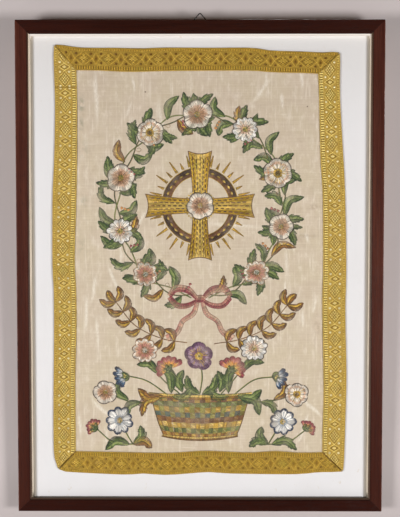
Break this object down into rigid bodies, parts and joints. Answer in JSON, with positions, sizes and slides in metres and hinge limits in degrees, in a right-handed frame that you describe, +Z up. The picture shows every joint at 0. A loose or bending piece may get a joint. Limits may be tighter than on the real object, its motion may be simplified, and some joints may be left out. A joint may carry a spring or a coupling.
{
  "type": "church banner in a picture frame",
  "caption": "Embroidered silk church banner with a woven gold braid border, laid on a pale board in a dark mitred picture frame that hangs by a triangular ring.",
  "frame": {"origin": "the point under the hanging ring's top corner that carries the weight; the ring's wire is centred on y = 0 and the frame's back is 2.3 mm in front of it", "axes": "+X to the viewer's right, +Y from the front to the back, +Z up"},
  "size_m": [0.66, 0.0286, 0.9013],
  "materials": {
    "mahogany": "dark red-brown stained wood, satin polish, grain along each rail",
    "fillet": "cream painted strip, matt",
    "mount_card": "off-white card, matt, with faint brown age specks",
    "backing": "plain brown fibreboard, matt",
    "silk": "aged cream silk, plain weave, soft sheen, with pale upright slubs and small stains",
    "embroidery": "floss silk stitches in greens, gold, brown, white, pink, blue and purple, with a silky sheen",
    "gold_braid": "gold-coloured woven braid with a lozenge pattern and a lustrous weave",
    "iron_wire": "dark oxidised iron wire and plate"
  },
  "bodies": {
    "root": {"rail_top": "mahogany", "rail_right": "mahogany", "rail_bottom": "mahogany", "rail_left": "mahogany", "spacer_top": "fillet", "spacer_right": "fillet", "spacer_bottom": "fillet", "spacer_left": "fillet", "mount_board": "mount_card", "back_board": "backing", "silk_panel": "silk", "braid_top": "gold_braid", "braid_right": "gold_braid", "braid_bottom": "gold_braid", "braid_left_lower": "gold_braid", "braid_left_upper": "gold_braid", "hanger_ring": "iron_wire", "hanger_plate": "iron_wire", "hanger_screw_left": "iron_wire", "hanger_screw_right": "iron_wire"}
  },
  "joints": []
}
